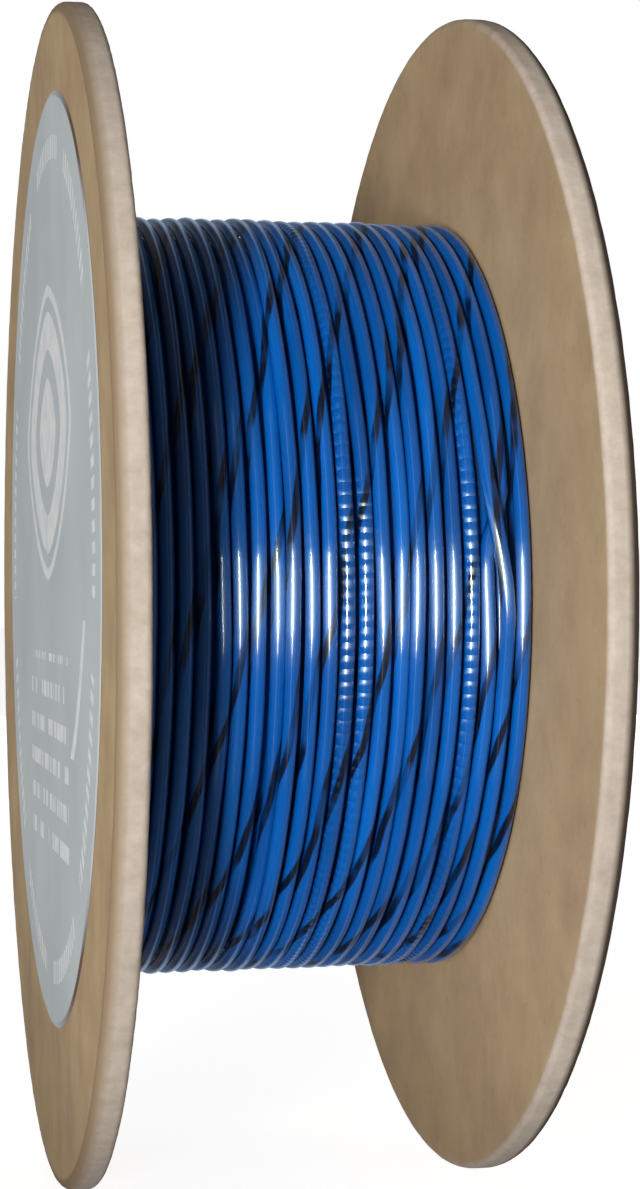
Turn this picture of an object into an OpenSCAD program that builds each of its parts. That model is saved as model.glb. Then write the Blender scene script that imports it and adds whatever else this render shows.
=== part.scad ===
// Spool of insulated electrical wire: two hardboard flanges on a paperboard core, wound full.
// The spool axis is X, with the labelled flange at -X. The origin is the middle of the arbor hole.

/* [Flanges] */
// Diameter of each flange
flange_d = 165; // [158:1:185]
// Thickness of the hardboard
flange_t = 4; // [3.6:0.1:6]
// Radius that eases the rim on both faces
rim_r = 1.3; // [0.5:0.1:1.7]
// Diameter of the arbor hole through flanges and plugs
arbor_d = 16; // [12:0.5:24]
// Depth of the ring groove that holds each end of the core tube
groove_depth = 1.5; // [0.8:0.1:2]

/* [Core] */
// Clear distance between the two flanges
traverse = 52.2; // [40:0.1:64]
// Outer diameter of the paperboard tube
core_d = 88.9; // [84:0.1:96]
// Wall of the paperboard tube
core_wall = 4; // [3:0.1:6]
// Radial clearance of the tube in its grooves and round the plugs
seat_gap = 0.1; // [0.05:0.01:0.2]
// Thickness of each wooden plug
plug_t = 12; // [11.5:0.5:16]
// Chamfer on the plug's inner end
plug_chamfer = 1.5; // [0.5:0.1:3]

/* [Wire] */
// Diameter over the insulation
wire_d = 2.2; // [1.8:0.05:2.6]
// Diameter of the stranded copper
copper_d = 1.2; // [0.8:0.05:1.4]
// Least gap between neighbouring turns
turn_gap = 0.05; // [0.04:0.01:0.15]
// Gap between one layer and the next
layer_gap = 0.05; // [0.04:0.01:0.15]
// Gap between the end turns and the flanges
side_gap = 0.2; // [0.1:0.05:0.6]
// Centre-line radius of the bend that brings the inner end out of the core
start_bend = 5; // [4.6:0.1:7]
// Length of the inner end left inside the core
start_tail = 10; // [8:0.5:16]
// Angle that the outer end runs on past its last half turn
end_angle = 12; // [9:0.5:13]

/* [Label] */
// Diameter of the paper label
label_d = 130; // [110:1:138]
// Thickness of the label
label_t = 0.2; // [0.1:0.05:0.4]
// How far the label's centre sits from the axis along Y
label_y = -3.5; // [-4:0.5:4]
// How far the label's centre sits from the axis along Z
label_z = 5; // [0:0.5:6]

/* [Staples] */
// Staples that hold each flange to its plug
staple_count = 4; // [3:1:6]
// Diameter of the staple wire
staple_wire = 1.2; // [0.8:0.1:1.4]
// Distance between a staple's legs, on centres
staple_span = 10; // [8:0.5:14]
// Length of a staple's legs below the face of the flange
staple_leg = 13; // [10:0.5:15]
// Radius of the ring on which the staples stand
staple_ring = 25; // [20:0.5:30]

/* [Hidden] */
$fn = 96;
layers = 4;
cut = 1; // overshoot of a cutting shape
staple_gap = 0.05; // clearance of the staples in their holes
wire_r = wire_d/2;
flange_x = traverse/2 + flange_t; // outer face of the right flange
core_r = core_d/2;
core_ri = core_r - core_wall;
// The pitch spreads the turns evenly, so that the last one lies against the flange.
turn_room = traverse - wire_d - 2*side_gap;
turns = floor(turn_room/(wire_d + turn_gap) + 0.001) + 1;
pitch = turn_room/(turns - 1);
joint_step = 0.02; // the lower half turns are this much thinner, so that joined ends nest
copper_gap = 0.03; // clearance of the copper in the insulation
copper_len = 6; // copper drawn at each end of the wire
slot_gap = 0.3; // room round the wire in the core's start slot

// Radius of the centre line of a layer; layer 0 lies on the core.
function layer_r(k) = core_r + layer_gap + wire_r + k*(wire_d + layer_gap);
// Odd layers run left to right and even ones right to left.
function layer_dir(k) = k % 2 == 0 ? -1 : 1;
// Place along the axis of turn i of a layer, counted in the order of winding.
function turn_x(k, i) = layer_dir(k)*(i*pitch - turn_room/2);

// Turns a revolve about Z into one about X: angle 0 is at +Y, 90 at +Z.
module about_x() { rotate([90, 0, 90]) children(); }

// Part of a ring of round wire about the X axis.
module ring_arc(r, d, from, sweep) {
    about_x() rotate_extrude(angle = sweep, start = from) translate([r, 0]) circle(d = d);
}

// ---- flanges, plugs and core ----

// Half section of a flange: X is the radius, Y runs from the outer face to the inner one.
module flange_section() {
    r = flange_d/2;
    difference() {
        union() {
            square([r - rim_r, flange_t]);
            translate([0, rim_r]) square([r, flange_t - 2*rim_r]);
            for (y = [rim_r, flange_t - rim_r]) translate([r - rim_r, y]) circle(r = rim_r);
        }
        translate([-cut, -cut]) square([arbor_d/2 + cut, flange_t + 2*cut]);
        translate([core_ri - seat_gap, flange_t - groove_depth])
            square([core_wall + 2*seat_gap, groove_depth + cut]);
    }
}

// A flange with its outer face at x = 0 and its inner face towards +X.
module flange() {
    difference() {
        about_x() rotate_extrude() flange_section();
        staples(staple_gap);
    }
}

// A wooden plug that stands on the inner face of a flange placed as above.
module hub_plug() {
    r = core_ri - seat_gap;
    difference() {
        translate([flange_t, 0, 0]) about_x() rotate_extrude() difference() {
            polygon([[0, 0], [r, 0], [r, plug_t - plug_chamfer], [r - plug_chamfer, plug_t],
                [0, plug_t]]);
            translate([-cut, -cut]) square([arbor_d/2 + cut, plug_t + 2*cut]);
        }
        staples(staple_gap);
    }
}

// One staple, its crown flush with x = 0 and its legs along +X, swollen by gap for its holes.
module staple(gap) {
    d = staple_wire + 2*gap;
    bend = staple_wire; // centre-line radius of the two corners
    crown_x = staple_wire/2;
    leg = staple_leg - crown_x - bend;
    for (side = [-1, 1]) {
        translate([crown_x + bend, side*staple_span/2, 0]) rotate([0, 90, 0])
            cylinder(d = d, h = leg + gap);
        translate([crown_x + bend, side*(staple_span/2 - bend), 0]) rotate([0, 0, side > 0 ? 90 : 180])
            rotate_extrude(angle = 90) translate([bend, 0]) circle(d = d);
    }
    translate([crown_x, bend - staple_span/2, 0]) rotate([-90, 0, 0])
        cylinder(d = d, h = staple_span - 2*bend);
    // the driven crown leaves its own open groove in the board
    if (gap > 0)
        translate([-cut, -staple_span/2, -d/2]) cube([cut + crown_x + gap, staple_span, d]);
}

module staples(gap) {
    for (i = [0:staple_count - 1])
        rotate([360*(i + 0.5)/staple_count, 0, 0]) translate([0, 0, staple_ring]) staple(gap);
}

// Puts a piece that is drawn on a flange's outer face at x = 0 on the left or the right side.
module left_side() { translate([-flange_x, 0, 0]) children(); }
module right_side() { mirror([1, 0, 0]) left_side() children(); }

module flange_left() { color("#a28e73") left_side() flange(); }
module flange_right() { color("#9c8a6e") right_side() flange(); }
module hub_plug_left() { color("#c9a877") left_side() hub_plug(); }
module hub_plug_right() { color("#c9a877") right_side() hub_plug(); }
module staples_left() { color("#b8bcc0") left_side() staples(0); }
module staples_right() { color("#b8bcc0") right_side() staples(0); }

module core_tube() {
    half = traverse/2 + groove_depth;
    color("#b39a78") difference() {
        translate([-half, 0, 0]) about_x() rotate_extrude()
            translate([core_ri, 0]) square([core_wall, 2*half]);
        start_slot();
    }
}

module label() {
    color("#a4a9a9") translate([-flange_x - label_t, label_y, label_z])
        rotate([0, 90, 0]) cylinder(d = label_d, h = label_t);
}

// ---- the wire ----
// One length of wire fills the spool. Each turn is an upper half ring in a plane across the axis
// and a lower half ring that leans one pitch sideways, so the two join without a kink at z = 0.
// The first upper half of a layer climbs in its own plane from the layer below.

module lower_half(k, i) {
    shift = turn_x(k, i + 1) - turn_x(k, i);
    r = sqrt(pow(layer_r(k), 2) + pow(shift/2, 2));
    translate([turn_x(k, i) + shift/2, 0, 0]) rotate([0, 0, asin(shift/2/r)])
        ring_arc(r, wire_d - joint_step, 180, 180);
}

module climbing_half(k) {
    rise = layer_r(k) - layer_r(k - 1);
    translate([turn_x(k, 0), rise/2, 0]) ring_arc(layer_r(k) - rise/2, wire_d, 0, 180);
}

module upper_halves(k, first, last) {
    about_x() rotate_extrude(angle = 180)
        for (i = [first:last]) translate([layer_r(k), turn_x(k, i)]) circle(d = wire_d);
}

module layer_turns(k) {
    upper_halves(k, k == 0 ? 0 : 1, k == layers - 1 ? turns - 1 : turns - 2);
    for (i = [0:turns - 2]) lower_half(k, i);
    if (k > 0) climbing_half(k);
}

// The inner end: a quarter bend out of the core into the first turn, drawn at any diameter.
module start_end(d, tail) {
    translate([turn_x(0, 0), start_bend - layer_r(0), 0]) {
        ring_arc(start_bend, d, 180, 90);
        translate([0, 0, -start_bend]) rotate([-90, 0, 0]) cylinder(d = d, h = tail);
    }
}

// The slot in the core tube that the inner end comes through.
module start_slot() {
    w = wire_d + 2*slot_gap;
    translate([turn_x(0, 0), -core_ri + cut, -start_bend]) rotate([90, 0, 0]) {
        cylinder(d = w, h = core_wall + 2*cut);
        translate([-w/2, 0, 0]) cube([w, start_bend, core_wall + 2*cut]);
    }
}

// The copper at the inner end and at the outer end.
module start_copper(d, len) {
    translate([turn_x(0, 0), start_bend - layer_r(0) + start_tail - copper_len, -start_bend])
        rotate([-90, 0, 0]) cylinder(d = d, h = len);
}
module end_copper(d, extra) {
    turned = copper_len/layer_r(layers - 1)*180/PI;
    translate([turn_x(layers - 1, turns - 1), 0, 0])
        ring_arc(layer_r(layers - 1), d, -end_angle - extra, turned + extra);
}

module wire_layer_1() {
    color("#145a9e") difference() {
        union() {
            layer_turns(0);
            start_end(wire_d - joint_step, start_tail);
        }
        start_copper(copper_d + 2*copper_gap, copper_len + cut);
    }
}
module wire_layer_2() { color("#145a9e") layer_turns(1); }
module wire_layer_3() { color("#145a9e") layer_turns(2); }
module wire_layer_4() {
    color("#145a9e") difference() {
        union() {
            layer_turns(layers - 1);
            translate([turn_x(layers - 1, turns - 1), 0, 0])
                ring_arc(layer_r(layers - 1), wire_d - joint_step, -end_angle, end_angle);
        }
        end_copper(copper_d + 2*copper_gap, 1);
    }
}
module wire_conductor() {
    color("#b8733a") {
        start_copper(copper_d, copper_len);
        end_copper(copper_d, 0);
    }
}

flange_left();
flange_right();
core_tube();
hub_plug_left();
hub_plug_right();
staples_left();
staples_right();
label();
wire_layer_1();
wire_layer_2();
wire_layer_3();
wire_layer_4();
wire_conductor();
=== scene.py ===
import math

import bmesh
import bpy
from mathutils import Matrix, Vector, noise


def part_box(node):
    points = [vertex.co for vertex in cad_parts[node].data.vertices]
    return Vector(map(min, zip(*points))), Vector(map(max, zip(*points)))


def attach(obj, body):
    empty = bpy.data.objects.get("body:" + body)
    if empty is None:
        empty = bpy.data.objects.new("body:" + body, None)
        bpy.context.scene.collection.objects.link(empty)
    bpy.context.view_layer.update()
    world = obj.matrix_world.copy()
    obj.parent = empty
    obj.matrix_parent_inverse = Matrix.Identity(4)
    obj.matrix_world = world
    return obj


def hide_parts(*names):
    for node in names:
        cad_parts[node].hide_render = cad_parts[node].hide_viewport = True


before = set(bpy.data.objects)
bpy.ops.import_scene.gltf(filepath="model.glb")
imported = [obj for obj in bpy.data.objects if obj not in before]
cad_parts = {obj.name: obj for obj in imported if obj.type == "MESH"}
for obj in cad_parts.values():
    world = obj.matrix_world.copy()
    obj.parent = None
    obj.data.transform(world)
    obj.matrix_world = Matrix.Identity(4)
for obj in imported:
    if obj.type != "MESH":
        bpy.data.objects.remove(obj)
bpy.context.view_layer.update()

# ---- Flanges ----
# Two discs die cut from 4 mm hardboard. The faces keep the sheet's pressed brown skin, mottled by
# its fibres; the die leaves a paler, slightly furry edge whose corners are eased. Painted shade
# darkens the edge low down and at the very top, and darkens the right board's outer corner most.
flange_low, flange_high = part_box("flange_left")
core_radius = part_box("core_tube")[1][2]
FLANGE_RADIUS = flange_high[2]
FLANGE_OUTER_X = -flange_low[0]
FLANGE_INNER_X = -flange_high[0]
RIM_RADIUS = 0.0013  # the rim's corner at the outer face, worn rounder than the inner one
INNER_RIM_RADIUS = 0.0009
CORNER_POINTS = 7
CORNER_LEAD = 0.0012  # how far inside its corner each face has its last ring of points
MIDDLE_RING = 0.040  # a ring of points on the outer face, between the staples and the rim
ARBOR_RADIUS = 0.008
ARBOR_BEVEL = 0.0004
CORE_WALL = 0.004
GROOVE_DEPTH = 0.0015  # the core's end stands in a round groove
GROOVE_GAP = 0.0001
RIM_STEPS = 360
RIM_WANDER = 0.00010
RIM_MARGIN = 0.0002  # the corner's first points wander too
RIM_TUFTS = 9.0  # tufts in a length of the rim's radius, each 9 mm long
RIM_FIBRES = 60.0  # the fibres on them are 1.4 mm long
RIM_TUFTS_ACROSS = 400.0  # both again, in a metre of the board's thickness
RIM_FIBRES_ACROSS = 900.0
STAPLE_COUNT = 4
STAPLE_RING = 0.025
CROWN_LENGTH = 0.0102
CROWN_WIDTH = 0.0013
CROWN_DEPTH = 0.00065
SHARP_ANGLE = math.radians(30)

CLOUD_SCALE = 105.0  # soft clouds of tan, 9.5 mm across
DRIFT_SCALE = 38.0  # warmer and cooler patches, 26 mm across
FLECK_SCALE = 900.0  # flecks of bark, 1.1 mm across
FIBRE_SCALE = 420.0  # tufts of fibre on the cut edge, 2.4 mm across
CUT_EDGE_STARTS = 0.0011  # all four are measured inwards from the rim
CUT_EDGE_FULL = 0.0005
CORNER_BAND_STARTS = 0.0018
CORNER_BAND_FULL = 0.0012
# painted shade on the cut edge, darker towards the bottom and at the very top, as stops up the board's
# height
EDGE_PAINTED_SHADE = ((0.26, "#E3E3E3"), (0.50, "#F0F0F0"), (0.74, "#FDFDFD"), (0.90, "#FAFAFA"),
             (0.985, "#DDD4C9"))  # each at its share of the board's height
# the outer corner is darkened: a little on the left board, and on the right board by a band of painted
# shade where the rim turns away from the lamps
CORNER_DARKENING_COLOURS = {-1: "#968167", 1: "#4C4035"}
CORNER_DARKENING_STARTS = {-1: 0.0016, 1: 0.0017}
CORNER_DARKENING_FULL = {-1: 0.0004, 1: 0.0008}


def linear_colour(hex_code):
    """An sRGB hex colour as linear red, green, blue and alpha."""
    parts = [int(hex_code[i:i + 2], 16) / 255 for i in (1, 3, 5)]
    return [p / 12.92 if p <= 0.04045 else ((p + 0.055) / 1.055) ** 2.4 for p in parts] + [1.0]


def add_node(tree, kind, inputs=(), links=(), stops=(), **settings):
    """Adds a node of a kind, with its settings, input values and links. A link comes from another
    node's first output, or from the output that is given. The stops are for a colour ramp, from
    low to high, each a position and a colour."""
    node = tree.nodes.new(kind)
    for name, value in settings.items():
        setattr(node, name, value)
    for i, (position, hex_code) in enumerate(stops):
        ramp = node.color_ramp.elements
        stop = ramp.new(position) if i > 1 else ramp[i]
        stop.position = position
        stop.color = linear_colour(hex_code)
    for key, value in dict(inputs).items():
        node.inputs[key].default_value = value
    for key, source in dict(links).items():
        if isinstance(source, bpy.types.Node):
            source = source.outputs[0]
        tree.links.new(source, node.inputs[key])
    return node


def new_material(name):
    """An empty node material, with its tree and its output node."""
    material = bpy.data.materials.new(name)
    material.use_nodes = True
    material.node_tree.nodes.clear()
    output = add_node(material.node_tree, "ShaderNodeOutputMaterial")
    return material, material.node_tree, output


def new_piece(name, mesh, material, body="root"):
    """Links a finished mesh into the scene as a piece of one material that rides on a body."""
    piece = bpy.data.objects.new(name, mesh)
    bpy.context.scene.collection.objects.link(piece)
    mesh.materials.clear()
    mesh.materials.append(material)
    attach(piece, body)
    return piece


def turned_mesh(name, section, steps, wander):
    """Revolves a closed section of (radius, x) points about the X axis; wander moves each point."""
    mesh_maker = bmesh.new()
    rings = []
    for step in range(steps):
        angle = 2 * math.pi * step / steps
        ring = []
        for radius, x in section:
            radius, x = wander(radius, x, angle)
            ring.append(mesh_maker.verts.new((x, radius * math.cos(angle), radius * math.sin(angle))))
        rings.append(ring)
    count = len(section)
    for step in range(steps):
        here, after = rings[step], rings[(step + 1) % steps]
        for i in range(count):
            j = (i + 1) % count
            mesh_maker.faces.new((here[i], here[j], after[j], after[i]))
    bmesh.ops.recalc_face_normals(mesh_maker, faces=mesh_maker.faces)
    mesh = bpy.data.meshes.new(name)
    mesh_maker.to_mesh(mesh)
    mesh_maker.free()
    mesh.shade_smooth()
    mesh.set_sharp_from_angle(angle=SHARP_ANGLE)
    return mesh


def flange_section(side):
    """The board's section on the left or right, from the arbor hole over the rim and back."""
    outer, inner = side * FLANGE_OUTER_X, side * FLANGE_INNER_X
    points = [(ARBOR_RADIUS + ARBOR_BEVEL, outer), (MIDDLE_RING, outer)]
    for face, toward in ((outer, -side), (inner, side)):
        corner = RIM_RADIUS if face == outer else INNER_RIM_RADIUS
        centre_r, centre_x = FLANGE_RADIUS - corner, face + toward * corner
        arc = []
        for i in range(CORNER_POINTS + 1):
            turn = math.pi / 2 * i / CORNER_POINTS
            arc.append((centre_r + corner * math.sin(turn), centre_x - toward * corner * math.cos(turn)))
        arc.insert(0, (centre_r - CORNER_LEAD, face))
        points += arc if face == outer else arc[::-1]
    groove_low = core_radius - CORE_WALL - GROOVE_GAP
    groove_high = core_radius + GROOVE_GAP
    floor_x = inner + side * GROOVE_DEPTH
    points += [(groove_high, inner), (groove_high, floor_x), (groove_low, floor_x),
               (groove_low, inner)]
    points += [(ARBOR_RADIUS + ARBOR_BEVEL, inner), (ARBOR_RADIUS, inner + side * ARBOR_BEVEL),
               (ARBOR_RADIUS, outer - side * ARBOR_BEVEL)]
    return points


def crown_grooves(side):
    """The four open grooves that the staples' crowns have sunk into the outer face, as one mesh."""
    mesh_maker = bmesh.new()
    for i in range(STAPLE_COUNT):
        turn = 2 * math.pi * (i + 0.5) / STAPLE_COUNT
        size = Matrix.Diagonal((2 * CROWN_DEPTH, CROWN_LENGTH, CROWN_WIDTH, 1.0))
        stand = Matrix.Translation((side * FLANGE_OUTER_X, 0.0, STAPLE_RING))
        place = Matrix.Rotation(turn, 4, "X") @ stand @ size
        bmesh.ops.create_cube(mesh_maker, size=1.0, matrix=place)
    mesh = bpy.data.meshes.new("crown_grooves")
    mesh_maker.to_mesh(mesh)
    mesh_maker.free()
    return mesh


def cut_out(name, mesh, cutter):
    """The mesh with the cutter's shape taken out of it."""
    whole = bpy.data.objects.new(name, mesh)
    tool = bpy.data.objects.new(name + "_cutter", cutter)
    for item in (whole, tool):
        bpy.context.scene.collection.objects.link(item)
    modifier = whole.modifiers.new("Grooves", "BOOLEAN")
    modifier.operation = "DIFFERENCE"
    modifier.solver = "EXACT"
    modifier.object = tool
    evaluated = whole.evaluated_get(bpy.context.evaluated_depsgraph_get())
    result = bpy.data.meshes.new_from_object(evaluated)
    result.name = name
    for item in (whole, tool):
        bpy.data.objects.remove(item)
    result.set_sharp_from_angle(angle=SHARP_ANGLE)
    return result


def furry_rim(radius, x, angle):
    """The die-cut edge is never quite round: it wanders by a tenth of a millimetre."""
    if radius < FLANGE_RADIUS - RIM_RADIUS - RIM_MARGIN:
        return radius, x
    around = Vector((math.cos(angle), math.sin(angle), 0.0))
    here = around * RIM_TUFTS + Vector((0.0, 0.0, x * RIM_TUFTS_ACROSS))
    fine = around * RIM_FIBRES + Vector((0.0, 0.0, x * RIM_FIBRES_ACROSS))
    shift = noise.noise(here) * 0.6 + noise.noise(fine) * 0.4
    return radius + RIM_WANDER * (shift - 0.5), x + RIM_WANDER * 0.5 * noise.noise(fine * 1.7)


def hardboard_material(name, side, seed):
    """Hardboard, pressed from wood fibre: a matt brown skin with soft clouds of tan, darker
    flecks of bark, and a paler cut edge with the fibres standing up. Painted shade darkens the
    cut edge low down and at the very top. The corner that meets the outer face is darkened a
    little on the left board, and on the right board by a band of painted shade where the rim
    turns away from the lamps."""
    material, tree, output = new_material(name)
    place = add_node(tree, "ShaderNodeTexCoord").outputs["Object"]
    shifted = add_node(tree, "ShaderNodeVectorMath", {1: (seed, seed * 0.7, seed * 1.3)}, {0: place},
                       operation="ADD").outputs[0]
    clouds = add_node(tree, "ShaderNodeTexNoise",
                      {"Scale": CLOUD_SCALE, "Detail": 5.0, "Roughness": 0.62}, {"Vector": shifted})
    drifts = add_node(tree, "ShaderNodeTexNoise",
                      {"Scale": DRIFT_SCALE, "Detail": 3.0, "Roughness": 0.5}, {"Vector": shifted})
    flecks = add_node(tree, "ShaderNodeTexNoise",
                      {"Scale": FLECK_SCALE, "Detail": 3.0, "Roughness": 0.7}, {"Vector": shifted})
    skin = add_node(tree, "ShaderNodeValToRGB", {}, {"Fac": clouds.outputs["Fac"]},
                    stops=((0.30, "#B99F80"), (0.72, "#CFB591")))
    warm = add_node(tree, "ShaderNodeValToRGB", {}, {"Fac": drifts.outputs["Fac"]},
                    stops=((0.35, "#F4F0EE"), (0.70, "#FFFFF6")))
    tinted = add_node(tree, "ShaderNodeMix", {0: 1.0}, {6: skin, 7: warm},
                      data_type="RGBA", blend_type="MULTIPLY")
    specks = add_node(tree, "ShaderNodeMapRange", {1: 0.60, 2: 0.72, 3: 0.0, 4: 0.35},
                      {0: flecks.outputs["Fac"]})
    faced = add_node(tree, "ShaderNodeMix", {7: linear_colour("#9A7D60")},
                     {0: specks, 6: tinted.outputs[2]}, data_type="RGBA")
    # the cut edge, told from the faces by its distance from the axis
    parts = add_node(tree, "ShaderNodeSeparateXYZ", {}, {0: place})
    flat = add_node(tree, "ShaderNodeCombineXYZ", {}, {1: parts.outputs[1], 2: parts.outputs[2]})
    reach = add_node(tree, "ShaderNodeVectorMath", {}, {0: flat}, operation="LENGTH")
    edge = add_node(tree, "ShaderNodeMapRange",
                    {1: FLANGE_RADIUS - CUT_EDGE_STARTS, 2: FLANGE_RADIUS - CUT_EDGE_FULL},
                    {0: reach.outputs[1]})
    fibres = add_node(tree, "ShaderNodeTexNoise",
                      {"Scale": FIBRE_SCALE, "Detail": 4.0, "Roughness": 0.65}, {"Vector": shifted})
    cut = add_node(tree, "ShaderNodeValToRGB", {}, {"Fac": fibres.outputs["Fac"]},
                   stops=((0.25, "#C1B1A0"), (0.75, "#DECFBF")))
    # painted shade on the cut edge: its lower half is darker, and so is the very top
    height = add_node(tree, "ShaderNodeMapRange", {1: -FLANGE_RADIUS, 2: FLANGE_RADIUS},
                      {0: parts.outputs[2]})
    painted_edge_shade = add_node(tree, "ShaderNodeValToRGB", {}, {"Fac": height}, stops=EDGE_PAINTED_SHADE)
    cut = add_node(tree, "ShaderNodeMix", {0: 1.0}, {6: cut, 7: painted_edge_shade},
                   data_type="RGBA", blend_type="MULTIPLY")
    colour = add_node(tree, "ShaderNodeMix", {},
                      {0: edge, 6: faced.outputs[2], 7: cut.outputs[2]}, data_type="RGBA")
    # the corner's darkening, on the last of the edge before the outer face and just round its corner; on
    # the right board it is painted shade
    outer_side = add_node(tree, "ShaderNodeMath", {1: side}, {0: parts}, operation="MULTIPLY")
    corner = add_node(tree, "ShaderNodeMapRange",
                      {1: FLANGE_OUTER_X - CORNER_DARKENING_STARTS[side], 2: FLANGE_OUTER_X - CORNER_DARKENING_FULL[side]},
                      {0: outer_side})
    rubbed = add_node(tree, "ShaderNodeMapRange",
                      {1: FLANGE_RADIUS - CORNER_BAND_STARTS, 2: FLANGE_RADIUS - CORNER_BAND_FULL},
                      {0: reach.outputs[1]})
    corner_darkening = add_node(tree, "ShaderNodeMath", {}, {0: corner, 1: rubbed}, operation="MULTIPLY")
    colour = add_node(tree, "ShaderNodeMix", {7: linear_colour(CORNER_DARKENING_COLOURS[side])},
                      {0: corner_darkening, 6: colour.outputs[2]}, data_type="RGBA")
    relief = add_node(tree, "ShaderNodeMath", {1: 0.35},
                      {0: flecks.outputs["Fac"], 2: fibres.outputs["Fac"]}, operation="MULTIPLY_ADD")
    bump = add_node(tree, "ShaderNodeBump", {"Strength": 0.35, "Distance": 0.0001},
                    {"Height": relief})
    shader = add_node(tree, "ShaderNodeBsdfPrincipled",
                      {"Roughness": 0.82, "IOR": 1.45, "Specular IOR Level": 0.15},
                      {"Base Color": colour.outputs[2], "Normal": bump})
    tree.links.new(shader.outputs[0], output.inputs[0])
    return material


for side, word, seed in ((-1, "left", 0.0), (1, "right", 3.1)):
    mesh = turned_mesh(f"flange_{word}_board", flange_section(side), RIM_STEPS, furry_rim)
    mesh = cut_out(f"flange_{word}_board", mesh, crown_grooves(side))
    board = new_piece(f"flange_{word}_board", mesh,
                      hardboard_material(f"Hardboard, die cut, {word}", side, seed))
    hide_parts(f"flange_{word}")

# ---- Core tube and hub plugs ----
# A spiral-wound paperboard tube carries the wire. A turned wooden plug is glued into each end, and
# its arbor hole goes on through the flange.
PULP_SCALE = 300.0  # flecks of pulp, 3 mm across
GRAIN_SCALE = (30.0, 30.0, 260.0)  # grain lines 4 mm apart and 33 mm long


def finish_cad_piece(name, material):
    """Gives its material to a piece that stays as model.glb has it."""
    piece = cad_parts[name]
    piece.data.materials.clear()
    piece.data.materials.append(material)


# Paperboard, wound from strips: a dull brown with flecks of pulp, and no shine at all
material, tree, output = new_material("Paperboard, spiral wound")
place = add_node(tree, "ShaderNodeTexCoord").outputs["Object"]
pulp = add_node(tree, "ShaderNodeTexNoise", {"Scale": PULP_SCALE, "Detail": 4.0}, {"Vector": place})
brown = add_node(tree, "ShaderNodeValToRGB", {}, {"Fac": pulp.outputs["Fac"]},
                 stops=((0.0, "#A08766"), (1.0, "#BFA684")))
shader = add_node(tree, "ShaderNodeBsdfPrincipled", {"Roughness": 0.85}, {"Base Color": brown})
tree.links.new(shader.outputs[0], output.inputs[0])
finish_cad_piece("core_tube", material)

# Poplar, turned: a pale wood with straight grain, which takes a faint sheen from the tool
material, tree, output = new_material("Poplar, turned")
place = add_node(tree, "ShaderNodeTexCoord").outputs["Object"]
stretched = add_node(tree, "ShaderNodeMapping", {"Scale": GRAIN_SCALE}, {"Vector": place})
grain = add_node(tree, "ShaderNodeTexNoise", {"Scale": 1.0, "Detail": 6.0, "Roughness": 0.6},
                 {"Vector": stretched})
wood = add_node(tree, "ShaderNodeValToRGB", {}, {"Fac": grain.outputs["Fac"]},
                stops=((0.3, "#B08C58"), (0.7, "#D8BC8C")))
shader = add_node(tree, "ShaderNodeBsdfPrincipled", {"Roughness": 0.6}, {"Base Color": wood})
tree.links.new(shader.outputs[0], output.inputs[0])
for word in ("left", "right"):
    finish_cad_piece(f"hub_plug_{word}", material)

# ---- Staples ----
# Four galvanised wire staples hold each flange to its plug. They are driven flush with the board,
# and their crowns lie in grooves that they have pressed into its face.
ZINC_SCALE = 1500.0  # clouds in the zinc, 0.7 mm across

# Steel wire, galvanised: a light grey metal, brighter and duller by turns
material, tree, output = new_material("Steel wire, galvanised")
place = add_node(tree, "ShaderNodeTexCoord").outputs["Object"]
zinc = add_node(tree, "ShaderNodeTexNoise", {"Scale": ZINC_SCALE, "Detail": 3.0}, {"Vector": place})
dull = add_node(tree, "ShaderNodeMapRange", {3: 0.28, 4: 0.5}, {0: zinc.outputs["Fac"]})
shader = add_node(tree, "ShaderNodeBsdfPrincipled",
                  {"Base Color": linear_colour("#B4B8BC"), "Metallic": 1.0},
                  {"Roughness": dull})
tree.links.new(shader.outputs[0], output.inputs[0])
for word in ("left", "right"):
    finish_cad_piece(f"staples_{word}", material)

# ---- Winding ----
# One length of automotive primary wire, 2.2 mm over its insulation, laid turn against turn in four
# layers. It starts at the right end of the core, and every second layer runs back the other way.
LAYERS = 4
WIRE_DIAMETER = 0.0022
DRAWN_DIAMETER = 0.00190  # the outer layer's: pulled tight as it is wound, it is a little thinner
TURN_GAP = 0.00005
LAYER_GAP = 0.00005
SIDE_GAP = 0.0002
START_BEND = 0.005  # the wire leaves the core through the tube's wall, in a bend of this radius
START_TAIL = 0.010
END_ANGLE = math.radians(12)  # the wire's end runs on this far past its last half turn
TAIL_STEPS = 8
BEND_STEPS = 10
END_STEPS = 5
INNER_STEPS = 72  # points in a turn
OUTER_STEPS = 150
INNER_SIDES = 12
OUTER_SIDES = 20
LAY_DRIFT = 0.00028  # how far a turn strays sideways in slow curves, and in quick ones
LAY_WOBBLE = 0.00022
DRIFT_PER_TURN = 2.3
WOBBLE_PER_TURN = 15.0
PROUD = 0.00040  # the outer layer lies a little loose: how far it stands out, and how that varies
PROUD_DRIFT = 0.00030
# the ninth and tenth turns are squeezed together, and one has ridden up: turn, sideways, outwards
SQUEEZED_TURNS = ((8, 0.00040, 0.0), (9, -0.00030, 0.0009))
SQUEEZE_REACH = (95, 40)  # degrees either way: where the squeeze has ended, and where it is full
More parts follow.
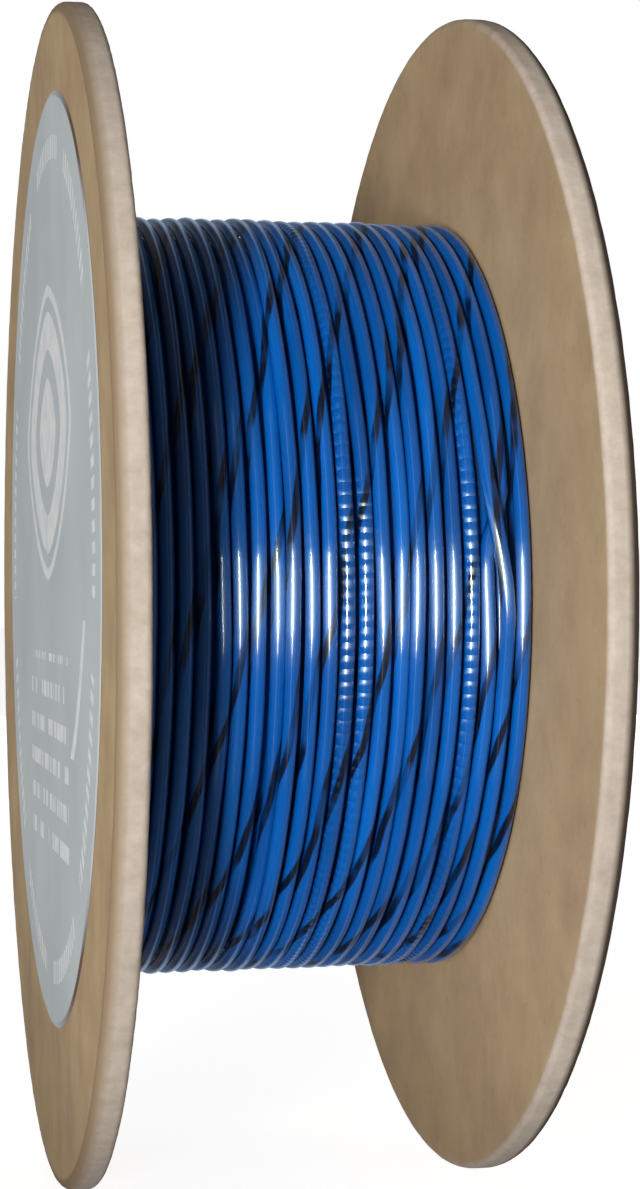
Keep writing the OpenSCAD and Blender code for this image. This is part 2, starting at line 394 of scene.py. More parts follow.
# two turns change places near the right flange, the earlier one on top: turn, way, the degrees
# over which it comes back to its own place, and how far it is lifted where they cross
SWAPPED_TURNS = ((20, 1, 20, -5, 0.0012), (21, -1, 15, 5, -0.0010))
SWAP_STARTS = (-195, -160)  # the degrees over which it leaves its place, half a turn before
CROSSINGS = (8.5, -177)
CROSSING_REACH = (24, 5)  # degrees either way: where the lift has ended, and where it is full
TRACER_LAY = 0.02826
TRACER_FADES = 0.81  # cosines of the angles from the tracer's middle to its soft edge's two sides
TRACER_FULL = 0.91
TRACER_WANDERS = 22.0  # its heading swings this many times in a metre, through so many radians
TRACER_SWING = 4.6
TRACER_START = -1.5
THIN_PLACES = 75.0  # in a metre
DYE_CHANGES = 14.0  # in a metre
RIPPLE_SCALE = 260.0  # dents and ripples in the skin, 4 mm long
STRAND_LAY = 0.00165
BEAD_HEIGHT = 1.6  # the beads' height over the ripples'
# where the strands show through the outer layer: the stretch's middle and half length, in turns
STRAND_SHOWS = ((12.5, 0.65), (19.0, 0.3), (20.94, 0.05))
STRAND_FADE = 0.02
SKIN_BUMP = 0.00006  # how high the ripples stand, and how much of that the gloss shows
COAT_BUMP = 0.00002

turn_room = 2 * FLANGE_INNER_X - WIRE_DIAMETER - 2 * SIDE_GAP
turns = math.floor(turn_room / (WIRE_DIAMETER + TURN_GAP) + 0.001) + 1
pitch = turn_room / (turns - 1)


def layer_radius(layer):
    return core_radius + LAYER_GAP + WIRE_DIAMETER / 2 + layer * (WIRE_DIAMETER + LAYER_GAP)


def smooth_step(low, high, value):
    t = min(max((value - low) / (high - low), 0.0), 1.0)
    return t * t * (3 - 2 * t)


def turn_point(layer, travelled):
    """(x, radius, angle) after so many turns of a layer: the upper half turn stays in its plane,
    and the lower half leans across by one pitch."""
    direction = -1 if layer % 2 == 0 else 1
    turn = math.floor(travelled + 1e-9)
    part = travelled - turn
    lean = 0.0 if part <= 0.5 else (1 - math.cos((part - 0.5) * 2 * math.pi)) / 2
    x = direction * ((turn + lean) * pitch - turn_room / 2)
    radius = layer_radius(layer)
    if layer > 0 and travelled < 0.5:
        radius -= (WIRE_DIAMETER + LAYER_GAP) * (1 + math.cos(travelled * 2 * math.pi)) / 2
    return x, radius, math.pi - 2 * math.pi * travelled


def laid_by_hand(travelled):
    """How far the outer layer strays from its even lay, as (sideways, outwards) in metres. Each
    way of straying follows its own line through the noise."""
    drift = Vector((travelled * DRIFT_PER_TURN, 0.0, 0.0))
    wobble = Vector((travelled * WOBBLE_PER_TURN, 5.0, 0.0))
    sideways = LAY_DRIFT * noise.noise(drift) + LAY_WOBBLE * noise.noise(wobble)
    outwards = PROUD + PROUD_DRIFT * noise.noise(drift + Vector((0, 9, 0)))
    for turn, pushed, lifted in SQUEEZED_TURNS:
        reach = smooth_step(*SQUEEZE_REACH, abs(360 * (travelled - turn)))
        sideways += pushed * reach
        outwards += lifted * reach
    for turn, way, starts, ends, lifted in SWAPPED_TURNS:
        degrees = 360 * (travelled - turn)
        swapped = smooth_step(starts, ends, degrees) * smooth_step(*SWAP_STARTS, degrees)
        sideways += way * pitch * swapped
        crossing = sum(smooth_step(*CROSSING_REACH, abs(degrees - middle)) for middle in CROSSINGS)
        outwards += lifted * crossing
    return sideways, outwards


def wire_route(layer, steps):
    """The centre line of one layer, as points. The first has the tail inside the core before it,
    and the outer one runs on for half a turn to the wire's end."""
    last = turns - 1 + (0.5 if layer == LAYERS - 1 else 0.0)
    count = round(last * steps)
    points = []
    if layer == 0:
        radius = layer_radius(0)
        start_x = turn_point(0, 0)[0]
        for i in range(TAIL_STEPS):
            out = START_TAIL * (1 - i / TAIL_STEPS)
            points.append(Vector((start_x, -radius + START_BEND + out, -START_BEND)))
        for i in range(BEND_STEPS):
            turn = math.pi / 2 * i / BEND_STEPS
            points.append(Vector((start_x, -radius + START_BEND - START_BEND * math.sin(turn),
                                  -START_BEND * math.cos(turn))))
    for i in range(count + 1):
        travelled = i / steps
        x, radius, angle = turn_point(layer, travelled)
        if layer == LAYERS - 1:
            sideways, outwards = laid_by_hand(travelled)
            x += sideways
            radius += outwards
        limit = turn_room / 2
        x = min(max(x, -limit), limit)
        points.append(Vector((x, radius * math.cos(angle), radius * math.sin(angle))))
    if layer == LAYERS - 1:
        for i in range(1, END_STEPS + 1):
            angle = -END_ANGLE * i / END_STEPS
            points.append(Vector((x, radius * math.cos(angle), radius * math.sin(angle))))
    return points


def wire_tree():
    """Geometry nodes: sweeps a round wire along a route, and marks each point with how far along
    and on which side of the wire it is."""
    tree = bpy.data.node_groups.new("Insulated wire", "GeometryNodeTree")
    for name, kind in (("Geometry", "NodeSocketGeometry"), ("Wire diameter", "NodeSocketFloat"),
                       ("Sides", "NodeSocketInt"), ("Insulation", "NodeSocketMaterial")):
        tree.interface.new_socket(name, in_out="INPUT", socket_type=kind)
    tree.interface.new_socket("Geometry", in_out="OUTPUT", socket_type="NodeSocketGeometry")
    given = add_node(tree, "NodeGroupInput").outputs
    line = add_node(tree, "GeometryNodeMeshToCurve", {}, {"Mesh": given["Geometry"]})
    place = add_node(tree, "GeometryNodeInputPosition")
    flat = add_node(tree, "ShaderNodeVectorMath", {1: (0.0, 1.0, 1.0)}, {0: place},
                    operation="MULTIPLY")
    outward = add_node(tree, "ShaderNodeVectorMath", {}, {0: flat}, operation="NORMALIZE")
    facing = add_node(tree, "GeometryNodeSetCurveNormal", {},
                      {"Curve": line, "Normal": outward}, mode="FREE")
    measure = add_node(tree, "GeometryNodeSplineParameter")
    marked = add_node(tree, "GeometryNodeStoreNamedAttribute", {"Name": "along_wire"},
                      {"Geometry": facing, "Value": measure.outputs["Length"]},
                      data_type="FLOAT", domain="POINT")
    radius = add_node(tree, "ShaderNodeMath", {1: 0.5}, {0: given["Wire diameter"]},
                      operation="MULTIPLY")
    ring = add_node(tree, "GeometryNodeCurvePrimitiveCircle", {},
                    {"Resolution": given["Sides"], "Radius": radius}, mode="RADIUS")
    unit = add_node(tree, "ShaderNodeVectorMath", {}, {0: place}, operation="NORMALIZE")
    around = add_node(tree, "GeometryNodeStoreNamedAttribute", {"Name": "around_wire"},
                      {"Geometry": ring, "Value": unit},
                      data_type="FLOAT_VECTOR", domain="POINT")
    swept = add_node(tree, "GeometryNodeCurveToMesh", {"Fill Caps": True},
                     {"Curve": marked, "Profile Curve": around})
    smooth = add_node(tree, "GeometryNodeSetShadeSmooth", {}, {"Geometry": swept})
    real = add_node(tree, "GeometryNodeRealizeInstances", {}, {"Geometry": smooth})
    coated = add_node(tree, "GeometryNodeSetMaterial", {},
                      {"Geometry": real, "Material": given["Insulation"]})
    out = add_node(tree, "NodeGroupOutput")
    tree.links.new(coated.outputs[0], out.inputs[0])
    return tree


def sweep_wire(name, points, tree, values):
    """Runs the tree on a route with named input values, and gives the plain mesh."""
    mesh = bpy.data.meshes.new(name)
    mesh.from_pydata(points, [(i, i + 1) for i in range(len(points) - 1)], [])
    route = bpy.data.objects.new(name + "_route", mesh)
    bpy.context.scene.collection.objects.link(route)
    modifier = route.modifiers.new("Wire", "NODES")
    modifier.node_group = tree
    for item in tree.interface.items_tree:
        if item.in_out == "INPUT" and item.name in values:
            modifier[item.identifier] = values[item.name]
    evaluated = route.evaluated_get(bpy.context.evaluated_depsgraph_get())
    swept = bpy.data.meshes.new_from_object(evaluated)
    swept.name = name
    bpy.data.objects.remove(route)
    return swept


def insulation_material(name, strand_shows):
    """Extruded PVC, dyed blue with a black tracer run in along it: a glossy plastic skin. The
    tracer winds round the wire once in 28 mm, and here and there the strands show through."""
    material, tree, output = new_material(name)
    along = add_node(tree, "ShaderNodeAttribute", attribute_name="along_wire").outputs["Fac"]
    around = add_node(tree, "ShaderNodeAttribute", attribute_name="around_wire").outputs["Vector"]
    place = add_node(tree, "ShaderNodeTexCoord").outputs["Object"]
    # the tracer's heading at this point, as an angle that runs on with the wire
    wander = add_node(tree, "ShaderNodeTexNoise", {"Scale": 1.0, "Detail": 3.0, "Roughness": 0.6},
                      {"W": add_node(tree, "ShaderNodeMath", {1: TRACER_WANDERS}, {0: along},
                                     operation="MULTIPLY").outputs[0]},
                      noise_dimensions="1D")
    swing = add_node(tree, "ShaderNodeMath", {1: TRACER_SWING, 2: TRACER_START},
                     {0: wander.outputs["Fac"]}, operation="MULTIPLY_ADD")
    heading = add_node(tree, "ShaderNodeMath", {1: 2 * math.pi / TRACER_LAY},
                       {0: along, 2: swing}, operation="MULTIPLY_ADD")
    cosine = add_node(tree, "ShaderNodeMath", {}, {0: heading}, operation="COSINE")
    sine = add_node(tree, "ShaderNodeMath", {}, {0: heading}, operation="SINE")
    tracer = add_node(tree, "ShaderNodeCombineXYZ", {}, {0: cosine, 1: sine})
    nearness = add_node(tree, "ShaderNodeVectorMath", {}, {0: around, 1: tracer},
                        operation="DOT_PRODUCT")
    stripe = add_node(tree, "ShaderNodeMapRange", {1: TRACER_FADES, 2: TRACER_FULL},
                      {0: nearness.outputs["Value"]})
    # it runs thin in places, where the blue shows through it
    flow = add_node(tree, "ShaderNodeMath", {1: THIN_PLACES}, {0: along}, operation="MULTIPLY")
    flow = add_node(tree, "ShaderNodeTexNoise", {"Scale": 1.0, "Detail": 2.0},
                    {"W": flow}, noise_dimensions="1D")
    body = add_node(tree, "ShaderNodeMapRange", {1: 0.38, 2: 0.52, 3: 0.40, 4: 1.0},
                    {0: flow.outputs["Fac"]})
    stripe = add_node(tree, "ShaderNodeMath", {}, {0: stripe, 1: body}, operation="MULTIPLY")
    # the dye is a little deeper in one stretch of the wire than in the next
    reel = add_node(tree, "ShaderNodeMath", {1: DYE_CHANGES}, {0: along}, operation="MULTIPLY")
    dye = add_node(tree, "ShaderNodeTexNoise", {"Scale": 1.0, "Detail": 3.0},
                   {"W": reel}, noise_dimensions="1D")
    blue = add_node(tree, "ShaderNodeValToRGB", {}, {"Fac": dye.outputs["Fac"]},
                    stops=((0.3, "#004A94"), (0.7, "#0164BE")))
    colour = add_node(tree, "ShaderNodeMix", {7: linear_colour("#03122C")},
                      {0: stripe, 6: blue}, data_type="RGBA")
    # strands, where the skin is thin: beads as far apart as the strands' lay
    beat = add_node(tree, "ShaderNodeMath", {1: math.pi / STRAND_LAY}, {0: along},
                    operation="MULTIPLY")
    beads = add_node(tree, "ShaderNodeMath", {}, {0: beat}, operation="SINE")
    beads = add_node(tree, "ShaderNodeMath", {}, {0: beads}, operation="ABSOLUTE")
    turn_length = 2 * math.pi * layer_radius(LAYERS - 1)
    shown = None
    for middle, half in strand_shows:
        far = add_node(tree, "ShaderNodeMath", {1: -middle * turn_length}, {0: along},
                       operation="ADD")
        gap = add_node(tree, "ShaderNodeMath", {}, {0: far}, operation="ABSOLUTE")
        near = add_node(tree, "ShaderNodeMapRange",
                        {1: half * turn_length, 2: (half - STRAND_FADE) * turn_length},
                        {0: gap}).outputs[0]
        if shown:
            near = add_node(tree, "ShaderNodeMath", {}, {0: shown, 1: near},
                            operation="MAXIMUM").outputs[0]
        shown = near
    ripple = add_node(tree, "ShaderNodeTexNoise", {"Scale": RIPPLE_SCALE, "Detail": 2.0},
                      {"Vector": place})
    height = ripple.outputs["Fac"]
    if shown:
        strong = add_node(tree, "ShaderNodeMath", {}, {0: beads, 1: shown}, operation="MULTIPLY")
        height = add_node(tree, "ShaderNodeMath", {1: BEAD_HEIGHT},
                          {0: strong, 2: height}, operation="MULTIPLY_ADD").outputs[0]
    bump = add_node(tree, "ShaderNodeBump", {"Strength": 1.0, "Distance": SKIN_BUMP},
                    {"Height": height})
    gloss = add_node(tree, "ShaderNodeBump", {"Strength": 1.0, "Distance": COAT_BUMP},
                     {"Height": height})
    # the die leaves fine lines along the skin, which spread each highlight across the wire
    across = add_node(tree, "ShaderNodeCombineXYZ", {0: 1.0})
    shader = add_node(tree, "ShaderNodeBsdfPrincipled",
                      {"Roughness": 0.28, "IOR": 1.53, "Specular IOR Level": 0.3, "Anisotropic": 1.0,
                       "Coat Weight": 0.7, "Coat Roughness": 0.10},
                      {"Base Color": colour.outputs[2], "Normal": bump,
                       "Coat Normal": gloss, "Tangent": across})
    tree.links.new(shader.outputs[0], output.inputs[0])
    return material


tree = wire_tree()
outer_skin = insulation_material("PVC insulation, extruded", STRAND_SHOWS)
inner_skin = insulation_material("PVC insulation, extruded, under the outer layer", ())
for layer in range(LAYERS):
    outer = layer == LAYERS - 1
    skin = outer_skin if outer else inner_skin
    route = wire_route(layer, OUTER_STEPS if outer else INNER_STEPS)
    values = {"Wire diameter": DRAWN_DIAMETER if outer else WIRE_DIAMETER,
              "Sides": OUTER_SIDES if outer else INNER_SIDES, "Insulation": skin}
    mesh = sweep_wire(f"winding_layer_{layer + 1}", route, tree, values)
    winding = new_piece(f"winding_layer_{layer + 1}", mesh, skin)
    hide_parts(f"wire_layer_{layer + 1}")
outer_winding = winding

# ---- Copper ----
# The wire's heart is nineteen drawn copper strands. They show at its two cut ends, where the
# cutter has left them a little proud of the insulation.
STRAND_DIAMETER = 0.00023
STRAND_PITCH = 0.000235
STRAND_LENGTH = 0.0040
STRAND_PROUD = 0.0003
STRAND_SIDES = 12
STRAND_RINGS = ((0, 1), (1, 6), (2, 12))  # one in the middle, and two rings laid round it
TARNISH_SCALE = 900.0  # clouds of tarnish, 1.1 mm across

# Copper, drawn: a clean warm metal, a little browner where it has tarnished
material, tree, output = new_material("Copper, drawn")
place = add_node(tree, "ShaderNodeTexCoord").outputs["Object"]
tarnish = add_node(tree, "ShaderNodeTexNoise", {"Scale": TARNISH_SCALE, "Detail": 3.0},
                   {"Vector": place})
warm = add_node(tree, "ShaderNodeValToRGB", {}, {"Fac": tarnish.outputs["Fac"]},
                stops=((0.0, "#B87345"), (1.0, "#E0976A")))
shader = add_node(tree, "ShaderNodeBsdfPrincipled", {"Metallic": 1.0, "Roughness": 0.3},
                  {"Base Color": warm})
tree.links.new(shader.outputs[0], output.inputs[0])

mesh_maker = bmesh.new()
first_route = wire_route(0, INNER_STEPS)
last_route = wire_route(LAYERS - 1, OUTER_STEPS)
for cut, before in ((first_route[0], first_route[1]), (last_route[-1], last_route[-2])):
    outward = (cut - before).normalized()
    stand = Matrix.Translation(cut + outward * (STRAND_PROUD - STRAND_LENGTH / 2))
    stand = stand @ outward.to_track_quat("Z", "Y").to_matrix().to_4x4()
    for ring, count in STRAND_RINGS:
        for i in range(count):
            turn = 2 * math.pi * i / count
            strand = Matrix.Translation((ring * STRAND_PITCH * math.cos(turn),
                                         ring * STRAND_PITCH * math.sin(turn), 0.0))
            bmesh.ops.create_cone(mesh_maker, cap_ends=True, segments=STRAND_SIDES,
                                  radius1=STRAND_DIAMETER / 2, radius2=STRAND_DIAMETER / 2,
                                  depth=STRAND_LENGTH, matrix=stand @ strand)
mesh = bpy.data.meshes.new("copper_strands")
mesh_maker.to_mesh(mesh)
mesh_maker.free()
mesh.shade_smooth()
mesh.set_sharp_from_angle(angle=math.radians(40))
strands = new_piece("copper_strands", mesh, material)
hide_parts("wire_conductor")

# ---- Label ----
# A round of grey coated paper, pasted a little off centre over the left flange and its staples. It
# is printed in a paler grey: a ring of ticks, a lozenge in a lozenge, a sweep and rows of dashes.
label_low, label_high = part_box("label")
LABEL_Y = (label_low[1] + label_high[1]) / 2
LABEL_Z = (label_low[2] + label_high[2]) / 2
LABEL_RADIUS = (label_high[2] - label_low[2]) / 2
LABEL_STEPS = 240
PAPER_BEVEL = 0.0005  # the back is this much smaller, so the edge slopes in to the board
FACE_INSET = 0.0002
FACE_LIP = 0.00004
LABEL_PULP_SCALE = 260.0
LABEL_CLOUD_SCALE = 45.0  # clouds in the grey, 22 mm across
# the print, in millimetres from the label's middle, to the right and upwards
TICK_RING = 57.5
TICK_HALF_LENGTH = 1.6
TICKS = 140
TICK_GROUPS = 9
LOZENGE_UP = 18.0
LOZENGE_HALF_WIDTH = 31.0
LOZENGE_HALF_HEIGHT = 20.0
LOZENGE_ROUNDING = 1.5
LOZENGE_LINES = ((1.0, 0.06), (0.62, 0.17), (0.12, 0.12))  # share of its size, and half thickness
ROW_HEIGHT = 5.2
ROW_INK = 0.22  # half the share of a row that its dashes fill
DASH_STRETCH = (0.45, 7.3, 0.0)  # about 2 mm a dash, and each row its own
DASH_CUTOFF = 0.47
BLOCK_HALF_WIDTH = 27.0
BLOCK_UP = -28.0
BLOCK_HALF_HEIGHT = 15.0
SWEEP_CENTRE = (4.0, 12.0, 0.0)
SWEEP_RADIUS = 47.0
SWEEP_HALF_WIDTH = 1.3
SWEEP_UP = -17.0
SWEEP_HALF_HEIGHT = 9.0
# the thin dark line along the label's edge: how far in it starts and is full, and where it is strongest
EDGE_LINE_STARTS = 0.9  # in from the edge
EDGE_LINE_FULL = 0.5
EDGE_LINE_UP = (38.0, 50.0)
EDGE_LINE_RIGHT = (8.0, 32.0)

mesh_maker = bmesh.new()
rings = []
for radius, x in ((LABEL_RADIUS - FACE_INSET, label_high[0]),
                  (LABEL_RADIUS, label_high[0] - FACE_LIP),
                  (LABEL_RADIUS - PAPER_BEVEL, label_low[0])):
    ring = []
    for step in range(LABEL_STEPS):
        angle = 2 * math.pi * step / LABEL_STEPS
        ring.append(mesh_maker.verts.new((x, LABEL_Y + radius * math.cos(angle),
                                          LABEL_Z + radius * math.sin(angle))))
    rings.append(ring)
for here, after in zip(rings, rings[1:]):
    for i in range(LABEL_STEPS):
        j = (i + 1) % LABEL_STEPS
        mesh_maker.faces.new((here[i], here[j], after[j], after[i]))
mesh_maker.faces.new(rings[0])
mesh_maker.faces.new(rings[-1])
bmesh.ops.recalc_face_normals(mesh_maker, faces=mesh_maker.faces)
mesh = bpy.data.meshes.new("label_paper")
mesh_maker.to_mesh(mesh)
mesh_maker.free()

# Paper, coated and printed grey: smooth and all but matt, with the paler ink just off its grey
material, tree, output = new_material("Paper, coated and printed grey")
place = add_node(tree, "ShaderNodeTexCoord").outputs["Object"]
parts = add_node(tree, "ShaderNodeSeparateXYZ", {}, {0: place})
# millimetres to the right of and above the middle of the print
right = add_node(tree, "ShaderNodeMath", {1: -1000.0, 2: 1000.0 * LABEL_Y}, {0: parts.outputs[1]},
                 operation="MULTIPLY_ADD").outputs[0]
above = add_node(tree, "ShaderNodeMath", {1: 1000.0, 2: -1000.0 * LABEL_Z}, {0: parts.outputs[2]},
                 operation="MULTIPLY_ADD").outputs[0]
on_print = add_node(tree, "ShaderNodeCombineXYZ", {}, {0: right, 1: above})
reach = add_node(tree, "ShaderNodeVectorMath", {}, {0: on_print}, operation="LENGTH")
bearing = add_node(tree, "ShaderNodeMath", {}, {0: above, 1: right}, operation="ARCTAN2")
# the ring of ticks, in groups
band = add_node(tree, "ShaderNodeMath", {1: TICK_RING, 2: TICK_HALF_LENGTH},
                {0: reach.outputs["Value"]}, operation="COMPARE")
beat = add_node(tree, "ShaderNodeMath", {1: float(TICKS)}, {0: bearing}, operation="MULTIPLY")
tick = add_node(tree, "ShaderNodeMath", {}, {0: beat}, operation="SINE")
tick = add_node(tree, "ShaderNodeMath", {1: -0.2}, {0: tick}, operation="GREATER_THAN")
spell = add_node(tree, "ShaderNodeMath", {1: float(TICK_GROUPS)}, {0: bearing},
                 operation="MULTIPLY")
spell = add_node(tree, "ShaderNodeMath", {}, {0: spell}, operation="SINE")
spell = add_node(tree, "ShaderNodeMath", {1: -0.75}, {0: spell}, operation="GREATER_THAN")
ticks = add_node(tree, "ShaderNodeMath", {}, {0: band, 1: tick}, operation="MULTIPLY")
printed = add_node(tree, "ShaderNodeMath", {}, {0: ticks, 1: spell}, operation="MULTIPLY")
# a lozenge inside a lozenge, above the middle
wide = add_node(tree, "ShaderNodeMath", {1: 1 / LOZENGE_HALF_WIDTH}, {0: right},
                operation="MULTIPLY")
wide = add_node(tree, "ShaderNodeMath", {}, {0: wide}, operation="ABSOLUTE")
tall = add_node(tree, "ShaderNodeMath", {1: -LOZENGE_UP}, {0: above}, operation="ADD")
tall = add_node(tree, "ShaderNodeMath", {1: 1 / LOZENGE_HALF_HEIGHT}, {0: tall},
                operation="MULTIPLY")
tall = add_node(tree, "ShaderNodeMath", {}, {0: tall}, operation="ABSOLUTE")
wide = add_node(tree, "ShaderNodeMath", {1: LOZENGE_ROUNDING}, {0: wide}, operation="POWER")
tall = add_node(tree, "ShaderNodeMath", {1: LOZENGE_ROUNDING}, {0: tall}, operation="POWER")
lozenge = add_node(tree, "ShaderNodeMath", {}, {0: wide, 1: tall}, operation="ADD")
for middle, half in LOZENGE_LINES:
    line = add_node(tree, "ShaderNodeMath", {1: middle, 2: half}, {0: lozenge}, operation="COMPARE")
    printed = add_node(tree, "ShaderNodeMath", {}, {0: printed, 1: line}, operation="MAXIMUM")
# rows of dashes below it, each row broken up in its own way
row = add_node(tree, "ShaderNodeMath", {1: 1 / ROW_HEIGHT}, {0: above}, operation="MULTIPLY")
row_number = add_node(tree, "ShaderNodeMath", {}, {0: row}, operation="FLOOR")
row_part = add_node(tree, "ShaderNodeMath", {}, {0: row}, operation="FRACT")
in_row = add_node(tree, "ShaderNodeMath", {1: 0.5, 2: ROW_INK}, {0: row_part}, operation="COMPARE")
spread = add_node(tree, "ShaderNodeCombineXYZ", {}, {0: right, 1: row_number})
spread = add_node(tree, "ShaderNodeVectorMath", {1: DASH_STRETCH}, {0: spread},
                  operation="MULTIPLY")
dashes = add_node(tree, "ShaderNodeTexNoise", {"Scale": 1.0, "Detail": 0.0},
                  {"Vector": spread}, noise_dimensions="2D")
dash = add_node(tree, "ShaderNodeMath", {1: DASH_CUTOFF}, {0: dashes.outputs["Fac"]},
                operation="GREATER_THAN")
block_wide = add_node(tree, "ShaderNodeMath", {1: 0.0, 2: BLOCK_HALF_WIDTH}, {0: right},
                      operation="COMPARE")
block_tall = add_node(tree, "ShaderNodeMath", {1: BLOCK_UP, 2: BLOCK_HALF_HEIGHT}, {0: above},
                      operation="COMPARE")
for part in (dash, block_wide, block_tall):
    in_row = add_node(tree, "ShaderNodeMath", {}, {0: in_row, 1: part}, operation="MULTIPLY")
printed = add_node(tree, "ShaderNodeMath", {}, {0: printed, 1: in_row}, operation="MAXIMUM")
# one sweep at the right, low down
bowed = add_node(tree, "ShaderNodeVectorMath", {1: SWEEP_CENTRE}, {0: on_print},
                 operation="DISTANCE")
sweep = add_node(tree, "ShaderNodeMath", {1: SWEEP_RADIUS, 2: SWEEP_HALF_WIDTH},
                 {0: bowed.outputs["Value"]}, operation="COMPARE")
sweep_low = add_node(tree, "ShaderNodeMath", {1: SWEEP_UP, 2: SWEEP_HALF_HEIGHT}, {0: above},
                     operation="COMPARE")
sweep_right = add_node(tree, "ShaderNodeMath", {1: 0.0}, {0: right}, operation="GREATER_THAN")
for part in (sweep_low, sweep_right):
    sweep = add_node(tree, "ShaderNodeMath", {}, {0: sweep, 1: part}, operation="MULTIPLY")
printed = add_node(tree, "ShaderNodeMath", {}, {0: printed, 1: sweep}, operation="MAXIMUM")
# the ink is thin and a little rubbed
pulp = add_node(tree, "ShaderNodeTexNoise", {"Scale": LABEL_PULP_SCALE, "Detail": 4.0},
                {"Vector": place})
rubbed = add_node(tree, "ShaderNodeMapRange", {1: 0.35, 2: 0.6, 3: 0.6, 4: 1.0},
                  {0: pulp.outputs["Fac"]})
ink = add_node(tree, "ShaderNodeMath", {}, {0: printed, 1: rubbed}, operation="MULTIPLY")
clouds = add_node(tree, "ShaderNodeTexNoise", {"Scale": LABEL_CLOUD_SCALE, "Detail": 3.0},
                  {"Vector": place})
grey = add_node(tree, "ShaderNodeValToRGB", {}, {"Fac": clouds.outputs["Fac"]},
                stops=((0.3, "#C9D0D2"), (0.7, "#D5DBDC")))
inked = add_node(tree, "ShaderNodeMix", {7: linear_colour("#F8FAF9")},
                 {0: ink, 6: grey}, data_type="RGBA")
# a thin dark brown line along the cut edge, strongest at the top and the bottom of the right side
rim = add_node(tree, "ShaderNodeMapRange",
               {1: 1000 * LABEL_RADIUS - EDGE_LINE_STARTS, 2: 1000 * LABEL_RADIUS - EDGE_LINE_FULL},
               {0: reach.outputs["Value"]})
height = add_node(tree, "ShaderNodeMath", {}, {0: above}, operation="ABSOLUTE")
far_up = add_node(tree, "ShaderNodeMapRange", {1: EDGE_LINE_UP[0], 2: EDGE_LINE_UP[1], 3: 0.15, 4: 1.0},
                  {0: height})
near_side = add_node(tree, "ShaderNodeMapRange",
                     {1: EDGE_LINE_RIGHT[0], 2: EDGE_LINE_RIGHT[1], 3: 0.1, 4: 1.0}, {0: right})
edge_line = rim
for part in (far_up, near_side):
    edge_line = add_node(tree, "ShaderNodeMath", {}, {0: edge_line, 1: part}, operation="MULTIPLY")
colour = add_node(tree, "ShaderNodeMix", {7: linear_colour("#6E5B4E")},
                  {0: edge_line, 6: inked.outputs[2]}, data_type="RGBA")
bump = add_node(tree, "ShaderNodeBump", {"Strength": 0.25, "Distance": 0.0001},
                {"Height": clouds.outputs["Fac"]})
shader = add_node(tree, "ShaderNodeBsdfPrincipled", {"Roughness": 0.65, "Specular IOR Level": 0.15},
                  {"Base Color": colour.outputs[2], "Normal": bump})
tree.links.new(shader.outputs[0], output.inputs[0])
label = new_piece("label_paper", mesh, material)
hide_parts("label")

# ---- Floor ----
# The spool stands on the rims of its boards, on a white sweep. It ends at a table's edge in front,
# past which the lower parts of the lamps still light the spool.
FLOOR_GAP = 0.0002
TABLE_EDGE = -0.15
FLOOR_REACH = 6.0
floor_z = -FLANGE_RADIUS - FLOOR_GAP
mesh = bpy.data.meshes.new("floor")
mesh.from_pydata([(-FLOOR_REACH, TABLE_EDGE, floor_z), (FLOOR_REACH, TABLE_EDGE, floor_z),
                  (FLOOR_REACH, FLOOR_REACH, floor_z), (-FLOOR_REACH, FLOOR_REACH, floor_z)],
                 [], [(0, 1, 2, 3)])
floor = bpy.data.objects.new("floor", mesh)
bpy.context.scene.collection.objects.link(floor)

# White board, matt: it shows a soft shadow, and a glow of its own keeps the rest of it white
material, tree, output = new_material("Sweep, white")
path = add_node(tree, "ShaderNodeLightPath").outputs
seen = add_node(tree, "ShaderNodeMath", {},
                {0: path["Is Camera Ray"], 1: path["Is Transmission Ray"]}, operation="MAXIMUM")
lit = add_node(tree, "ShaderNodeMix", {2: 0.16, 3: 0.86}, {0: seen})
matt = add_node(tree, "ShaderNodeBsdfDiffuse", {"Color": (0.65, 0.65, 0.65, 1)})
glow = add_node(tree, "ShaderNodeEmission", {"Color": (1, 1, 1, 1)}, {"Strength": lit})
both = add_node(tree, "ShaderNodeAddShader", {}, {0: matt, 1: glow})
tree.links.new(both.outputs[0], output.inputs[0])
mesh.materials.append(material)
floor.visible_glossy = False

# ---- Room ----
# Behind the spool all is white, and a faint even light fills its shadows. What shines mirrors a
# dim room, faintly blue, with a band of window overhead and brighter walls behind and at the right.
WINDOW_X = 0.15  # these are shares of a direction: 1 is straight to the right or straight back
WINDOW_WIDTH = 0.30
BACK_WALL = (0.80, 1.0)
RIGHT_WALL = (0.6, 0.95)
world = bpy.data.worlds.new("Studio")
bpy.context.scene.world = world
world.use_nodes = True
tree = world.node_tree
tree.nodes.clear()
path = add_node(tree, "ShaderNodeLightPath").outputs
seen = add_node(tree, "ShaderNodeMath", {}, {0: path["Is Camera Ray"], 1: path["Is Glossy Ray"]},
                operation="MAXIMUM")
seen = add_node(tree, "ShaderNodeMath", {}, {0: seen, 1: path["Is Transmission Ray"]},
                operation="MAXIMUM")
toward = add_node(tree, "ShaderNodeTexCoord")
parts = add_node(tree, "ShaderNodeSeparateXYZ", {}, {0: toward.outputs["Generated"]})
room = add_node(tree, "ShaderNodeMapRange",
                {1: BACK_WALL[0], 2: BACK_WALL[1], 3: 0.04, 4: 0.35}, {0: parts.outputs[1]},
                interpolation_type="SMOOTHSTEP")
off_band = add_node(tree, "ShaderNodeMath", {1: WINDOW_X}, {0: parts}, operation="SUBTRACT")
off_band = add_node(tree, "ShaderNodeMath", {}, {0: off_band}, operation="ABSOLUTE")
window = add_node(tree, "ShaderNodeMapRange",
                  {1: 0.5 * WINDOW_WIDTH, 2: 0.2 * WINDOW_WIDTH, 3: 0.0, 4: 0.65},
                  {0: off_band}, interpolation_type="SMOOTHSTEP")
room = add_node(tree, "ShaderNodeMath", {}, {0: room, 1: window}, operation="MAXIMUM")
